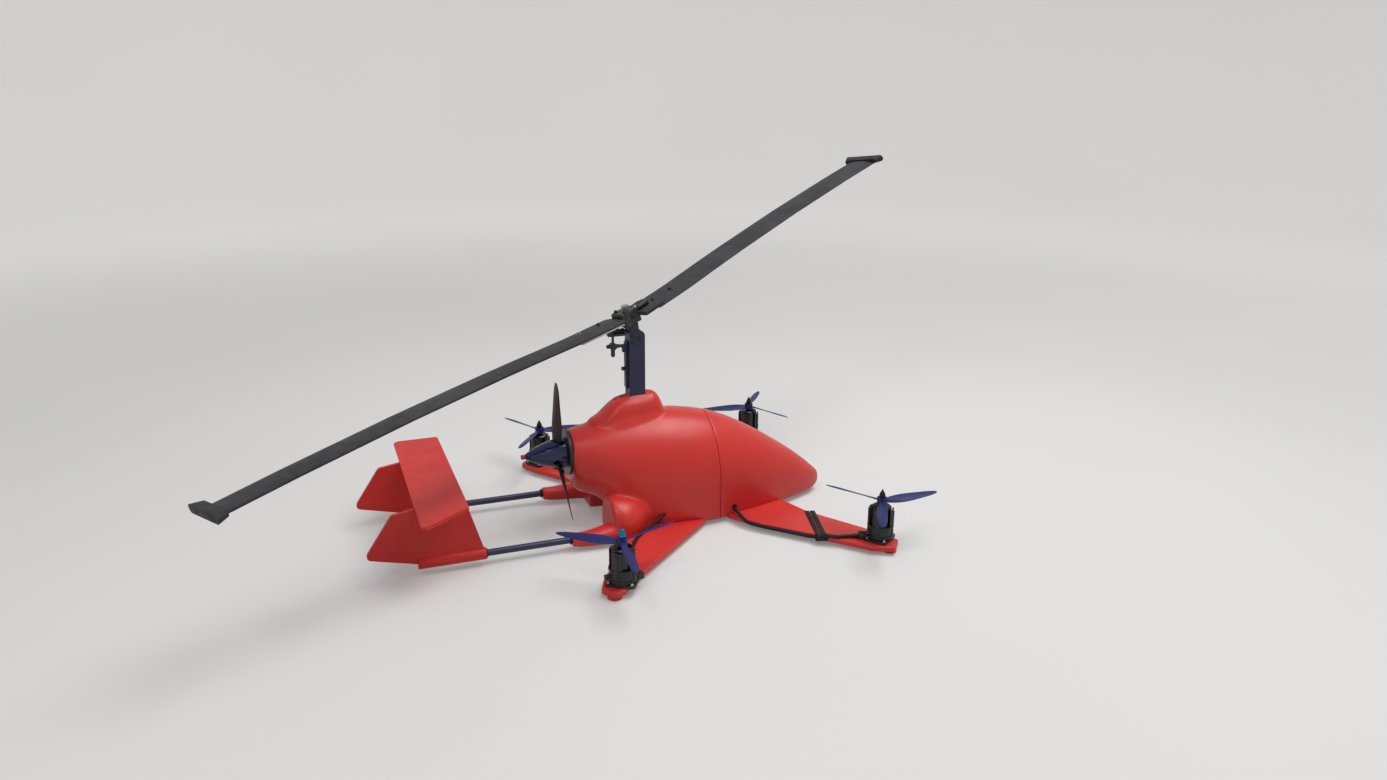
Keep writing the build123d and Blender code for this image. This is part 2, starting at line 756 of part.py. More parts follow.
# Lift units: slotted cup on the arm, stator inside it, and the bell, propeller and nut that turn
for name, sense, motor_x, first_blade, turn in LIFT_UNITS:
    base = Vector(motor_x, sense * motor_side, arm_top)
    front = motor_x == front_motor_x
    arm_heading = sense * (front_arm_heading if front else rear_arm_heading)
    terminal_x, terminal_side, terminal_heading = FRONT_TERMINAL if front else REAR_TERMINAL
    with BuildPart() as cup:
        with BuildSketch(Plane(base)):
            with Locations(Location((0, 0), arm_heading)):
                RectangleRounded(cup_base_width, cup_base_length, cup_base_corner)
            Circle(cup_radius)
        extrude(amount=cup_floor)
        with BuildSketch(Plane(base)):
            with Locations(Location((terminal_x, sense * terminal_side), sense * terminal_heading)):
                Rectangle(terminal_length, terminal_width)
        extrude(amount=terminal_height)
        with BuildSketch(Plane(base)):
            Circle(cup_radius)
            Circle(cup_radius - cup_wall, mode=Mode.SUBTRACT)
        extrude(amount=cup_height)
        with BuildSketch(Plane(base).offset(cup_height - cup_slot_height)):
            for angle in (0, 90):
                with Locations(Location((0, 0), angle)):
                    Rectangle(3 * cup_radius, cup_slot_width)
        extrude(amount=cup_slot_height, mode=Mode.SUBTRACT)
        knob_start = base + Vector(-cup_radius + cup_wall / 2, 0, knob_height)
        with BuildSketch(Plane(knob_start, (0, 1, 0), (-1, 0, 0))):
            Circle(knob_radius)
        extrude(amount=knob_reach)
    put(cup.part, f"motor_cup_{name}")

    seat = base + Vector(0, 0, cup_floor)
    bell_radius = cup_radius - cup_wall - bell_clearance
    with BuildPart() as stator:
        with BuildSketch(Plane(seat)):
            Circle(bell_radius)
        extrude(amount=stator_base_height)
        with BuildSketch(Plane(seat)):
            Circle(stator_radius)
        extrude(amount=stator_height)
        with BuildSketch(Plane(seat)):
            Circle(lift_shaft_radius + running_clearance)
        extrude(amount=stator_height, mode=Mode.SUBTRACT)
    put(stator.part, f"motor_stator_{name}")

    bell_low = stator_base_height + bell_lift
    bell_high = bell_low + bell_height
    hub_low = bell_high + bell_collar_height
    axis = Axis(tuple(seat), (0, 0, 1))
    with BuildPart() as bell:
        with BuildSketch(Plane(seat, (1, 0, 0), (0, -1, 0))):
            with BuildLine():
                Polyline(
                    (0, bell_low),
                    (lift_shaft_radius, bell_low),
                    (lift_shaft_radius, bell_high - bell_wall),
                    (bell_radius - bell_wall, bell_high - bell_wall),
                    (bell_radius - bell_wall, bell_low),
                    (bell_radius, bell_low),
                    (bell_radius, bell_high - bell_wall),
                    (bell_radius - bell_wall, bell_high),
                    (bell_collar_radius, bell_high),
                    (bell_collar_radius, hub_low),
                    (lift_shaft_radius, hub_low),
                    (lift_shaft_radius, bell_low + lift_shaft_length),
                    (0, bell_low + lift_shaft_length),
                    close=True,
                )
            make_face()
        revolve(axis=axis)
    put(bell.part, f"motor_bell_{name}")

    hub_point = seat + Vector(0, 0, hub_low + lift_hub_length / 2)
    with BuildPart() as prop:
        with BuildSketch(Plane(seat).offset(hub_low)):
            Circle(lift_hub_radius)
        extrude(amount=lift_hub_length)
        for turn_index in range(3):
            lean = radians(first_blade + 120 * turn_index)
            add(
                twisted_blade(
                    hub_point,
                    Vector(0, 0, 1),
                    Vector(cos(lean), sin(lean), 0),
                    lift_prop_radius,
                    LIFT_BLADE,
                    turn,
                )
            )
        with BuildSketch(Plane(seat).offset(hub_low)):
            Circle(lift_shaft_radius)
        extrude(amount=lift_hub_length, mode=Mode.SUBTRACT)
    put(prop.part, f"lift_prop_{name}")

    nut_low = hub_low + lift_hub_length
    with BuildPart() as nut:
        with BuildSketch(Plane(seat, (1, 0, 0), (0, -1, 0))):
            with BuildLine():
                Polyline(
                    (lift_shaft_radius, nut_low),
                    (nut_radius, nut_low),
                    (nut_radius, nut_low + nut_grip),
                    (0, nut_low + nut_height),
                    (0, bell_low + lift_shaft_length),
                    (lift_shaft_radius, bell_low + lift_shaft_length),
                    close=True,
                )
            make_face()
        revolve(axis=axis)
    put(nut.part, f"prop_nut_{name}")

# Motor cables, laid along the arms from the pod to the terminals
for name, sense, motor_x, first_blade, turn in LIFT_UNITS:
    front = motor_x == front_motor_x
    terminal_x, terminal_side, terminal_heading = FRONT_TERMINAL if front else REAR_TERMINAL
    heading = Vector(cos(radians(terminal_heading)), sin(radians(terminal_heading)), 0)
    terminal = Vector(motor_x + terminal_x, motor_side + terminal_side, arm_top + cable_radius + cable_gap)
    cable_end = terminal + heading * (terminal_length / 2)
    corners = [Vector(*corner) for corner in (FRONT_CABLE if front else REAR_CABLE)]
    corners += [cable_end + heading * cable_run_out, cable_end]
    corners = [Vector(corner.X, sense * corner.Y, corner.Z) for corner in corners]
    radii = []
    for before, corner, after in zip(corners, corners[1:], corners[2:]):
        arriving, leaving = corner - before, after - corner
        bend = radians(arriving.get_angle(leaving))
        radii.append(cable_bend_share * min(arriving.length, leaving.length) / tan(bend / 2))
    print(name, "cable radii", [round(radius, 1) for radius in radii])
    with BuildPart() as cable:
        with BuildLine() as cable_path:
            FilletPolyline(corners, radius=radii)
        with BuildSketch(Plane(origin=corners[0], z_dir=corners[1] - corners[0])):
            Circle(cable_radius)
        sweep(path=cable_path.line)
        add(pod_form, mode=Mode.SUBTRACT)
    cable_length = sum(edge.length for edge in cable_path.line.edges())
    print(name, "cable volume", round(cable.part.volume), "length", round(cable_length, 1))
    put(cable.part, f"cable_{name}")

# Tail
boom_start = socket_end_x + boom_insert
boom_end = fin_front_x - boom_insert
fin_top = belly_height + fin_foot + fin_height
for name, sense in (("right", -1), ("left", 1)):
    side = sense * boom_side
    with BuildPart() as boom:
        with BuildSketch(Plane(origin=(boom_start, side, boom_height), z_dir=(-1, 0, 0))):
            Circle(boom_radius)
        extrude(amount=boom_start - boom_end)
    put(boom.part, f"boom_{name}")

    drop = tan(radians(stab_incidence)) * fin_top_length
    lead = fin_front_x - fin_sweep
    with BuildPart() as fin:
        with BuildSketch(Plane.XZ.offset(-side)):
            with BuildLine():
                Polyline(
                    (fin_front_x, boom_height),
                    (lead, fin_top),
                    (lead - fin_top_length, fin_top - drop),
                    (lead - fin_top_length - fin_rear_overhang, fin_top - drop - fin_rear_drop),
                    (fin_front_x - fin_sleeve_length, boom_height),
                    close=True,
                )
            make_face()
        extrude(amount=fin_thickness / 2, both=True)
        rear_edges = fin.edges().filter_by(Axis.Y).sort_by(Axis.X)[0:2]
        fillet(rear_edges, fin_corner)
        with BuildSketch(Plane(origin=(fin_front_x, side, boom_height), z_dir=(-1, 0, 0))):
            Circle(fin_sleeve_radius)
        extrude(amount=fin_sleeve_length)
        with BuildSketch(Plane(origin=(fin_front_x, side, boom_height), z_dir=(-1, 0, 0))):
            Circle(boom_radius)
        extrude(amount=boom_insert, mode=Mode.SUBTRACT)
    put(fin.part, f"fin_{name}")

tilt = radians(stab_incidence)
stab_plane = Plane((fin_front_x - fin_sweep, 0, fin_top), (-cos(tilt), 0, -sin(tilt)), (-sin(tilt), 0, cos(tilt)))
with BuildPart() as stabiliser:
    with BuildSketch(stab_plane):
        with BuildLine():
            Polyline(
                (0, -stab_front_half_span),
                (0, stab_front_half_span),
                (stab_chord, stab_rear_half_span),
                (stab_chord, -stab_rear_half_span),
                close=True,
            )
        make_face()
    extrude(amount=stab_thickness)
    upright = Axis(stab_plane.origin, stab_plane.z_dir)
    fillet(stabiliser.edges().filter_by(upright), stab_corner)
put(stabiliser.part, "stabiliser")
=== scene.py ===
import json
import math

import bpy
from mathutils import Matrix, Vector


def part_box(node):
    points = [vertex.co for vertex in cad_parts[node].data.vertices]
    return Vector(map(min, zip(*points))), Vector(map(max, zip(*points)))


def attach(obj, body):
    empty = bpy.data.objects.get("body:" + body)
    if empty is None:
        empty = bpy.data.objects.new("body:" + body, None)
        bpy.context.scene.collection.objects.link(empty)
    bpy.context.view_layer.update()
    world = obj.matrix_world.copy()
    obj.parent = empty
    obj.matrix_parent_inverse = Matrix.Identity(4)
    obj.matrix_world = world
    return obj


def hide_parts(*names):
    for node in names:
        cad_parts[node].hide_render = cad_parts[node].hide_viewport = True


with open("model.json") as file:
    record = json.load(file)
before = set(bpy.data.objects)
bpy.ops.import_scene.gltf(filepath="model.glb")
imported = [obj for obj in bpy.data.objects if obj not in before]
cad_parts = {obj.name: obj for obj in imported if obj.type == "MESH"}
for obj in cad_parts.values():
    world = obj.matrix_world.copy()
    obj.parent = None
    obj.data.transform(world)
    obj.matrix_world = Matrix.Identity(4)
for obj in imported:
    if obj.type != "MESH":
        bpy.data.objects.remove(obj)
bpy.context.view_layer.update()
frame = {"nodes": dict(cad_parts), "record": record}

# The frame has the nose along +X, the port side along +Y and the floor at zero, all in metres.
AHEAD = Vector((1.0, 0.0, 0.0))
BACK = Vector((-1.0, 0.0, 0.0))
PORT = Vector((0.0, 1.0, 0.0))
UP = Vector((0.0, 0.0, 1.0))
DOWN = Vector((0.0, 0.0, -1.0))

# The main rotor: its spindle leans back, and its blades rise a little towards their tips.
HUB = Vector((-0.014, 0.0, 0.260))
SPINDLE_TILT = math.radians(15.4)
ROTOR_AZIMUTH = math.radians(25.9)
SPINDLE = Vector((-math.sin(SPINDLE_TILT), 0.0, math.cos(SPINDLE_TILT)))
DISC_FORWARD = Vector((math.cos(SPINDLE_TILT), 0.0, math.sin(SPINDLE_TILT)))
BLADE_LINE = DISC_FORWARD * math.cos(ROTOR_AZIMUTH) + Vector((0.0, math.sin(ROTOR_AZIMUTH), 0.0))
BLADE_ACROSS = SPINDLE.cross(BLADE_LINE)
BLADE_CONING = math.radians(3.5)

# Where each blade's printed lengths join, out from the hub.
BLADE_JOINTS = (0.155, 0.200, 0.318, 0.443)

# The mast, the control link behind it and the twin-boom tail.
MAST_REAR = -0.0175
MAST_HALF_WIDTH = 0.0090
LINK_X = -0.0325
LINK_LEVEL = 0.224
SOCKET_END = -0.110
FIN_FRONT = -0.210
BOOM_SIDE = 0.075
BOOM_LEVEL = 0.014

# The lift motors. Columns: motor x and side, degrees from the nose's way to the arm's, the cable
# terminal's x and side from the motor, and degrees from the nose's way to the leaving cable's.
ARM_TOP = 0.011
MOTOR_ENDS = {
    "front": (0.2375, 0.1925, 53.0, -0.0178, -0.0079, 203.0),
    "rear": (-0.0835, 0.1925, 123.0, 0.0185, -0.0056, 253.0),
}
MOTOR_PLACES = (("front", "right", -1), ("rear", "right", -1), ("rear", "left", 1), ("front", "left", 1))

# The pod's skin: where its creases are eased, and the plug that closes the mast's pocket.
SKIN_VOXEL = 0.0013
EASE_STEPS = 36
LEAST_EASE = 0.15
BELLY_BAND = 0.004
SEAM_X = 0.085
SEAM_BAND = 0.004
FAIRING_FOOT = 0.100
FAIRING_RUN = 0.010
FAIRING_END = 0.035
SHOULDER_RUN = 0.014
SHOULDER_TOP = 0.060
SHOULDER_SIDE = 0.045
SHOULDER_EASE = 0.8
TIP_RUN = 0.012
TIP_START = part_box("nose_shell")[1].x - 0.016
MAST_PLUG_SIZE = (0.0202, 0.0182, 0.0250)
MAST_PLUG_PLACE = (-0.0045, 0.0, 0.1510)

# Print layers, the roughness that scratches add, and dust.
LAYER_HEIGHT = 0.00028
SCUFF_ROUGHNESS = 0.18
DUST_COLOUR = (0.55, 0.52, 0.50)


# Effects that several finishes share


def new_group(name, inputs, outputs):
    """A shader node group with its named sockets and its two end nodes."""
    group = bpy.data.node_groups.new(name, "ShaderNodeTree")
    for title, kind, value in inputs:
        group.interface.new_socket(title, in_out="INPUT", socket_type=kind).default_value = value
    for title in outputs:
        group.interface.new_socket(title, in_out="OUTPUT", socket_type="NodeSocketFloat")
    return group, group.nodes.new("NodeGroupInput"), group.nodes.new("NodeGroupOutput")


def feed(tree, socket, value):
    """Links a socket to another one, or gives it a value of its own."""
    if isinstance(value, bpy.types.NodeSocket):
        tree.links.new(value, socket)
    else:
        socket.default_value = value


def math_node(tree, operation, *values):
    """A Math node fed by sockets or plain numbers. Gives its output."""
    node = tree.nodes.new("ShaderNodeMath")
    node.operation = operation
    for socket, value in zip(node.inputs, values):
        feed(tree, socket, value)
    return node.outputs[0]


def vector_node(tree, operation, *values):
    """A Vector Math node fed by sockets or plain vectors. Gives the node."""
    node = tree.nodes.new("ShaderNodeVectorMath")
    node.operation = operation
    for socket, value in zip(node.inputs, values):
        feed(tree, socket, value)
    return node


def noise_node(tree, where, scale, detail=3.0, rough=0.5):
    """A Noise Texture read at a place. Gives its value."""
    node = tree.nodes.new("ShaderNodeTexNoise")
    node.inputs["Detail"].default_value = detail
    node.inputs["Roughness"].default_value = rough
    feed(tree, node.inputs["Scale"], scale)
    tree.links.new(where, node.inputs["Vector"])
    return node.outputs[0]


def ramp_node(tree, value, low, high, to_low=0.0, to_high=1.0):
    """A smooth Map Range from low..high. Gives its result."""
    node = tree.nodes.new("ShaderNodeMapRange")
    node.interpolation_type = "SMOOTHSTEP"
    for title, number in (("From Min", low), ("From Max", high), ("To Min", to_low), ("To Max", to_high)):
        node.inputs[title].default_value = number
    tree.links.new(value, node.inputs["Value"])
    return node.outputs["Result"]


def mix_colour(tree, factor, first, second):
    """A colour mix of two colours or sockets. Gives its result."""
    node = tree.nodes.new("ShaderNodeMix")
    node.data_type = "RGBA"
    tree.links.new(factor, node.inputs["Factor"])
    colour_inputs = [socket for socket in node.inputs if socket.type == "RGBA"]
    for socket, value in zip(colour_inputs, (first, second)):
        feed(tree, socket, (*value, 1.0) if isinstance(value, tuple) else value)
    return [socket for socket in node.outputs if socket.type == "RGBA"][0]


def object_place(tree):
    """The point on the piece, in the shared frame."""
    return tree.nodes.new("ShaderNodeTexCoord").outputs["Object"]


def build_layer_lines():
    """Fine print layers stacked along an axis."""
    group, enter, leave = new_group(
        "layer_lines",
        [
            ("Axis", "NodeSocketVector", (0.0, 0.0, 1.0)),
            ("Layer", "NodeSocketFloat", LAYER_HEIGHT),
            ("Waver", "NodeSocketFloat", 0.25),
        ],
        ["Height"],
    )
    place = object_place(group)
    along = vector_node(group, "DOT_PRODUCT", place, enter.outputs["Axis"]).outputs["Value"]
    turns = math_node(group, "DIVIDE", along, enter.outputs["Layer"])
    waver = math_node(group, "MULTIPLY", noise_node(group, place, scale=60.0), enter.outputs["Waver"])
    shifted = math_node(group, "ADD", turns, waver)
    wave = math_node(group, "SINE", math_node(group, "MULTIPLY", shifted, 2 * math.pi))
    patchy = ramp_node(group, noise_node(group, place, scale=14.0), low=0.3, high=0.7, to_low=0.35)
    group.links.new(math_node(group, "MULTIPLY", wave, patchy), leave.inputs["Height"])
    return group


def build_handling():
    """Broad tint, patchy gloss and the fine grain of a handled surface."""
    group, enter, leave = new_group(
        "handling",
        [("Blotch Scale", "NodeSocketFloat", 11.0), ("Grain Scale", "NodeSocketFloat", 900.0)],
        ["Tint", "Gloss", "Grain"],
    )
    broad_share, mid_share, mid_finer = 0.7, 0.3, 5.5
    place = object_place(group)
    broad = noise_node(group, place, enter.outputs["Blotch Scale"], detail=2.0)
    mid_scale = math_node(group, "MULTIPLY", enter.outputs["Blotch Scale"], mid_finer)
    mid = noise_node(group, place, mid_scale, detail=4.0, rough=0.6)
    grain = noise_node(group, place, enter.outputs["Grain Scale"], detail=2.0)
    weighed = [
        math_node(group, "MULTIPLY", broad, broad_share),
        math_node(group, "MULTIPLY", mid, mid_share),
    ]
    tint = math_node(group, "ADD", *weighed)
    group.links.new(ramp_node(group, tint, low=0.32, high=0.68), leave.inputs["Tint"])
    group.links.new(ramp_node(group, mid, low=0.3, high=0.72), leave.inputs["Gloss"])
    group.links.new(grain, leave.inputs["Grain"])
    return group


def build_scuffs():
    """Short fine scratches in two directions, in patches."""
    group, enter, leave = new_group(
        "scuffs",
        [("Amount", "NodeSocketFloat", 0.5), ("Scale", "NodeSocketFloat", 60.0)],
        ["Mask"],
    )
    side_lean = 0.4
    place = object_place(group)
    marks = []
    for lean, stretch in ((0.5, (14.0, 1.0, 9.0)), (-0.9, (1.0, 12.0, 8.0))):
        mapping = group.nodes.new("ShaderNodeMapping")
        mapping.inputs["Rotation"].default_value = (lean, side_lean * lean, lean)
        mapping.inputs["Scale"].default_value = stretch
        group.links.new(place, mapping.inputs["Vector"])
        streak = noise_node(group, mapping.outputs["Vector"], enter.outputs["Scale"], detail=2.0)
        marks.append(ramp_node(group, streak, low=0.66, high=0.72))
    patch = ramp_node(group, noise_node(group, place, scale=24.0), low=0.5, high=0.64)
    kept = math_node(group, "MULTIPLY", math_node(group, "MAXIMUM", *marks), patch)
    group.links.new(math_node(group, "MULTIPLY", kept, enter.outputs["Amount"]), leave.inputs["Mask"])
    return group


def build_dust():
    """Pale dust that settles where the surface faces up."""
    group, enter, leave = new_group("settled_dust", [("Amount", "NodeSocketFloat", 0.3)], ["Mask"])
    haze_share = 0.45
    place = object_place(group)
    facing = group.nodes.new("ShaderNodeSeparateXYZ")
    group.links.new(group.nodes.new("ShaderNodeNewGeometry").outputs["Normal"], facing.inputs[0])
    upward = ramp_node(group, facing.outputs["Z"], low=0.35, high=0.95)
    speck_noise = noise_node(group, place, scale=620.0, detail=3.0, rough=0.7)
    specks = ramp_node(group, speck_noise, low=0.56, high=0.7)
    haze = ramp_node(group, noise_node(group, place, scale=34.0, detail=4.0), low=0.35, high=0.8)
    laid = math_node(group, "MAXIMUM", math_node(group, "MULTIPLY", haze, haze_share), specks)
    kept = math_node(group, "MULTIPLY", math_node(group, "MULTIPLY", laid, upward), enter.outputs["Amount"])
    group.links.new(kept, leave.inputs["Mask"])
    return group


LAYER_LINES = build_layer_lines()
HANDLING = build_handling()
SCUFFS = build_scuffs()
SETTLED_DUST = build_dust()


# Finishes


def place_group(tree, group, **values):
    """Puts a shared effect into a material, with its own values."""
    node = tree.nodes.new("ShaderNodeGroup")
    node.node_tree = group
    for title, value in values.items():
        node.inputs[title.replace("_", " ").title()].default_value = value
    return node


def start_finish(name):
    """A new material with its tree and its shader."""
    material = bpy.data.materials.new(name)
    material.use_nodes = True
    return material, material.node_tree, material.node_tree.nodes["Principled BSDF"]


def worked_finish(
    name,
    colour,
    deep,
    roughness,
    worn=None,
    wear=0.3,
    metal=0.0,
    layers=None,
    layer_depth=0.00001,
    grain=0.000006,
    grain_scale=900.0,
    dust=0.0,
    specular=0.5,
    overlay=None,
):
    """A handled surface: tint from colour to deep, patchy gloss, scratches, dust, and print layers."""
    material, tree, shader = start_finish(name)
    shader.inputs["Metallic"].default_value = metal
    shader.inputs["Specular IOR Level"].default_value = specular
    handling = place_group(tree, HANDLING, grain_scale=grain_scale)
    scuffs = place_group(tree, SCUFFS, amount=wear)
    if worn is None:
        worn = tuple(min(1.0, 1.6 * channel + 0.02) for channel in colour)
    base = mix_colour(tree, handling.outputs["Tint"], colour, deep)
    base = mix_colour(tree, scuffs.outputs["Mask"], base, worn)
    if dust:
        settled = place_group(tree, SETTLED_DUST, amount=dust)
        base = mix_colour(tree, settled.outputs["Mask"], base, DUST_COLOUR)
    if overlay:
        base = overlay(tree, base)
    tree.links.new(base, shader.inputs["Base Color"])
    smooth, rough = roughness
    gloss = ramp_node(tree, handling.outputs["Gloss"], low=0.0, high=1.0, to_low=smooth, to_high=rough)
    rubbed = math_node(tree, "MULTIPLY", scuffs.outputs["Mask"], SCUFF_ROUGHNESS)
    tree.links.new(math_node(tree, "ADD", gloss, rubbed), shader.inputs["Roughness"])
    height = math_node(tree, "MULTIPLY", handling.outputs["Grain"], grain)
    if layers is not None:
        lines = place_group(tree, LAYER_LINES, axis=layers)
        ridges = math_node(tree, "MULTIPLY", lines.outputs["Height"], layer_depth)
        height = math_node(tree, "ADD", height, ridges)
    bump = tree.nodes.new("ShaderNodeBump")
    bump.inputs["Distance"].default_value = 1.0
    tree.links.new(height, bump.inputs["Height"])
    tree.links.new(bump.outputs["Normal"], shader.inputs["Normal"])
    return material


def blade_joint_lines(tree, base):
    """Dark hairlines across a rotor blade where its printed lengths join."""
    half_width, strength, dark = 0.0007, 0.75, (0.012, 0.012, 0.014)
    from_hub = vector_node(tree, "SUBTRACT", object_place(tree), HUB).outputs["Vector"]
    along = vector_node(tree, "DOT_PRODUCT", from_hub, BLADE_LINE).outputs["Value"]
    radius = math_node(tree, "ABSOLUTE", along)
    first, *others = [math_node(tree, "COMPARE", radius, joint, half_width) for joint in BLADE_JOINTS]
    mask = first
    for line in others:
        mask = math_node(tree, "MAXIMUM", mask, line)
    return mix_colour(tree, math_node(tree, "MULTIPLY", mask, strength), base, dark)


def build_finishes():
    """Every finish of the vehicle, by its slot in the record."""
    red, deep_red, worn_red = (0.68, 0.036, 0.028), (0.61, 0.028, 0.024), (0.74, 0.13, 0.11)
    flat_red = dict(colour=red, deep=deep_red, worn=worn_red, dust=0.02)
    looks = {
        "pod_red": dict(
            roughness=(0.31, 0.38), wear=0.07, specular=0.45, layers=UP, layer_depth=0.000005, **flat_red
        ),
        "arm_red": dict(roughness=(0.42, 0.5), wear=0.1, layers=UP, layer_depth=0.000006, **flat_red),
        "tail_red": dict(
            roughness=(0.46, 0.53), wear=0.06, specular=0.35, layers=AHEAD, layer_depth=0.000003, **flat_red
        ),
        "tip_red": dict(roughness=(0.3, 0.4), **flat_red),
        "boom_blue": dict(
            colour=(0.026, 0.028, 0.085),
            deep=(0.018, 0.020, 0.064),
            roughness=(0.32, 0.45),
            wear=0.2,
            grain=0.000004,
        ),
        "mast_blue": dict(
            colour=(0.016, 0.017, 0.058), deep=(0.011, 0.012, 0.044), roughness=(0.4, 0.55), layers=UP
        ),
        "spinner_blue": dict(
            colour=(0.013, 0.014, 0.092), deep=(0.010, 0.011, 0.076), roughness=(0.12, 0.18), wear=0.04
        ),
        "prop_blue": dict(
            colour=(0.014, 0.020, 0.135),
            deep=(0.010, 0.014, 0.100),
            roughness=(0.42, 0.55),
            wear=0.08,
            specular=0.35,
        ),
        "pusher_brown": dict(
            colour=(0.024, 0.014, 0.015),
            deep=(0.016, 0.010, 0.011),
            roughness=(0.36, 0.48),
            worn=(0.10, 0.06, 0.05),
        ),
        "blade_grey": dict(
            colour=(0.040, 0.039, 0.043),
            deep=(0.029, 0.029, 0.033),
            roughness=(0.62, 0.76),
            worn=(0.12, 0.12, 0.13),
            wear=0.2,
            specular=0.3,
            layers=BLADE_LINE,
            dust=0.06,
            overlay=blade_joint_lines,
        ),
        "blade_tip_grey": dict(
            colour=(0.030, 0.029, 0.032), deep=(0.021, 0.021, 0.024), roughness=(0.58, 0.72), specular=0.3
        ),
        "cup_black": dict(
            colour=(0.020, 0.020, 0.022), deep=(0.012, 0.012, 0.014), roughness=(0.42, 0.58), layers=UP
        ),
        "fitting_black": dict(
            colour=(0.024, 0.024, 0.027),
            deep=(0.014, 0.014, 0.016),
            roughness=(0.35, 0.5),
            worn=(0.12, 0.12, 0.13),
        ),
        "strap_black": dict(
            colour=(0.014, 0.014, 0.016),
            deep=(0.009, 0.009, 0.010),
            roughness=(0.6, 0.8),
            worn=(0.04, 0.04, 0.04),
            specular=0.3,
        ),
        "cable_black": dict(
            colour=(0.009, 0.009, 0.010),
            deep=(0.006, 0.006, 0.007),
            roughness=(0.5, 0.65),
            worn=(0.04, 0.04, 0.04),
            specular=0.3,
        ),
        "steel": dict(
            colour=(0.50, 0.50, 0.51),
            deep=(0.38, 0.38, 0.40),
            roughness=(0.26, 0.4),
            worn=(0.7, 0.7, 0.7),
            metal=1.0,
        ),
        "bell_metal": dict(
            colour=(0.055, 0.055, 0.060),
            deep=(0.038, 0.038, 0.043),
            roughness=(0.28, 0.4),
            worn=(0.4, 0.4, 0.42),
            metal=1.0,
        ),
        "stator_copper": dict(
            colour=(0.46, 0.20, 0.09),
            deep=(0.30, 0.12, 0.05),
            roughness=(0.3, 0.45),
            metal=1.0,
            grain=0.00006,
        ),
        "nut_cyan": dict(
            colour=(0.03, 0.20, 0.36),
            deep=(0.02, 0.15, 0.29),
            roughness=(0.22, 0.34),
            worn=(0.4, 0.5, 0.56),
            metal=1.0,
        ),
        "nut_black": dict(
            colour=(0.035, 0.035, 0.040),
            deep=(0.022, 0.022, 0.026),
            roughness=(0.24, 0.38),
            worn=(0.4, 0.4, 0.42),
            metal=1.0,
        ),
    }
    return {name: worked_finish(name, **look) for name, look in looks.items()}


FINISHES = build_finishes()


def dress_nodes():
    """Gives every node of the model the finish of its slot."""
    slot_of = {entry["node"]: entry["material_slot"] for entry in frame["record"]["subparts"]}
    for name, node in frame["nodes"].items():
        node.data.materials.clear()
        node.data.materials.append(FINISHES[slot_of[name]])


# Modelling by hand


def fresh(add, **values):
    """A new primitive, added with nothing else selected."""
    bpy.ops.object.select_all(action="DESELECT")
    add(**values)
    return bpy.context.object


def only(piece):
    """Makes one piece the only selected and the active one."""
    bpy.ops.object.select_all(action="DESELECT")
    piece.select_set(True)
    bpy.context.view_layer.objects.active = piece


def pick_ends(piece, sense=1, flatness=0.9):
    """Selects, in edit mode, the faces that look up, or down where sense is -1."""
    bpy.ops.mesh.select_mode(type="FACE")
    bpy.ops.mesh.select_all(action="DESELECT")
    bpy.ops.object.mode_set(mode="OBJECT")
    for polygon in piece.data.polygons:
        polygon.select = polygon.normal.z * sense > flatness
    bpy.ops.object.mode_set(mode="EDIT")


def draw_out(rise, narrowing=1.0):
    """Extrudes the selected faces upwards, and narrows them at their new height."""
    bpy.ops.mesh.extrude_region_move(TRANSFORM_OT_translate={"value": (0, 0, rise)})
    if narrowing != 1.0:
        bpy.ops.transform.resize(value=(narrowing, narrowing, 1.0))


def settle():
    """Puts the active piece's place, turn and scale into its mesh."""
    bpy.ops.object.transform_apply(location=True, rotation=True, scale=True)


def set_down(piece, name, finish, angle=35.0):
    """Settles a piece's place into its mesh, smooths it and gives it its name and finish."""
    only(piece)
    settle()
    bpy.ops.object.shade_smooth_by_angle(angle=math.radians(angle))
    piece.name = name
    piece.data.name = name
    piece.data.materials.clear()
    piece.data.materials.append(finish)
    return piece


def soften(piece, width, segments=2, from_angle=40):
    """Rounds a piece's edges that turn by more than an angle."""
    only(piece)
    rounding = piece.modifiers.new("rounding", "BEVEL")
    rounding.width = width
    rounding.segments = segments
    rounding.limit_method = "ANGLE"
    rounding.angle_limit = math.radians(from_angle)
    bpy.ops.object.modifier_apply(modifier=rounding.name)


def copy_to(model, name, place):
    """A copy of a modelled piece, with its own mesh, moved to its place."""
    piece = model.copy()
    piece.data = model.data.copy()
    piece.data.transform(place)
    piece.name = name
    piece.data.name = name
    bpy.context.scene.collection.objects.link(piece)
    return piece


def stand_at(point, up, ahead=AHEAD):
    """The turn and place that stand an upright piece on a surface."""
    rise = Vector(up).normalized()
    side = rise.cross(Vector(ahead)).normalized()
    return Matrix.Translation(point) @ Matrix((side.cross(rise), side, rise)).transposed().to_4x4()


def level_way(degrees):
    """The level direction that lies so many degrees from the nose's."""
    turn = math.radians(degrees)
    return Vector((math.cos(turn), math.sin(turn), 0))


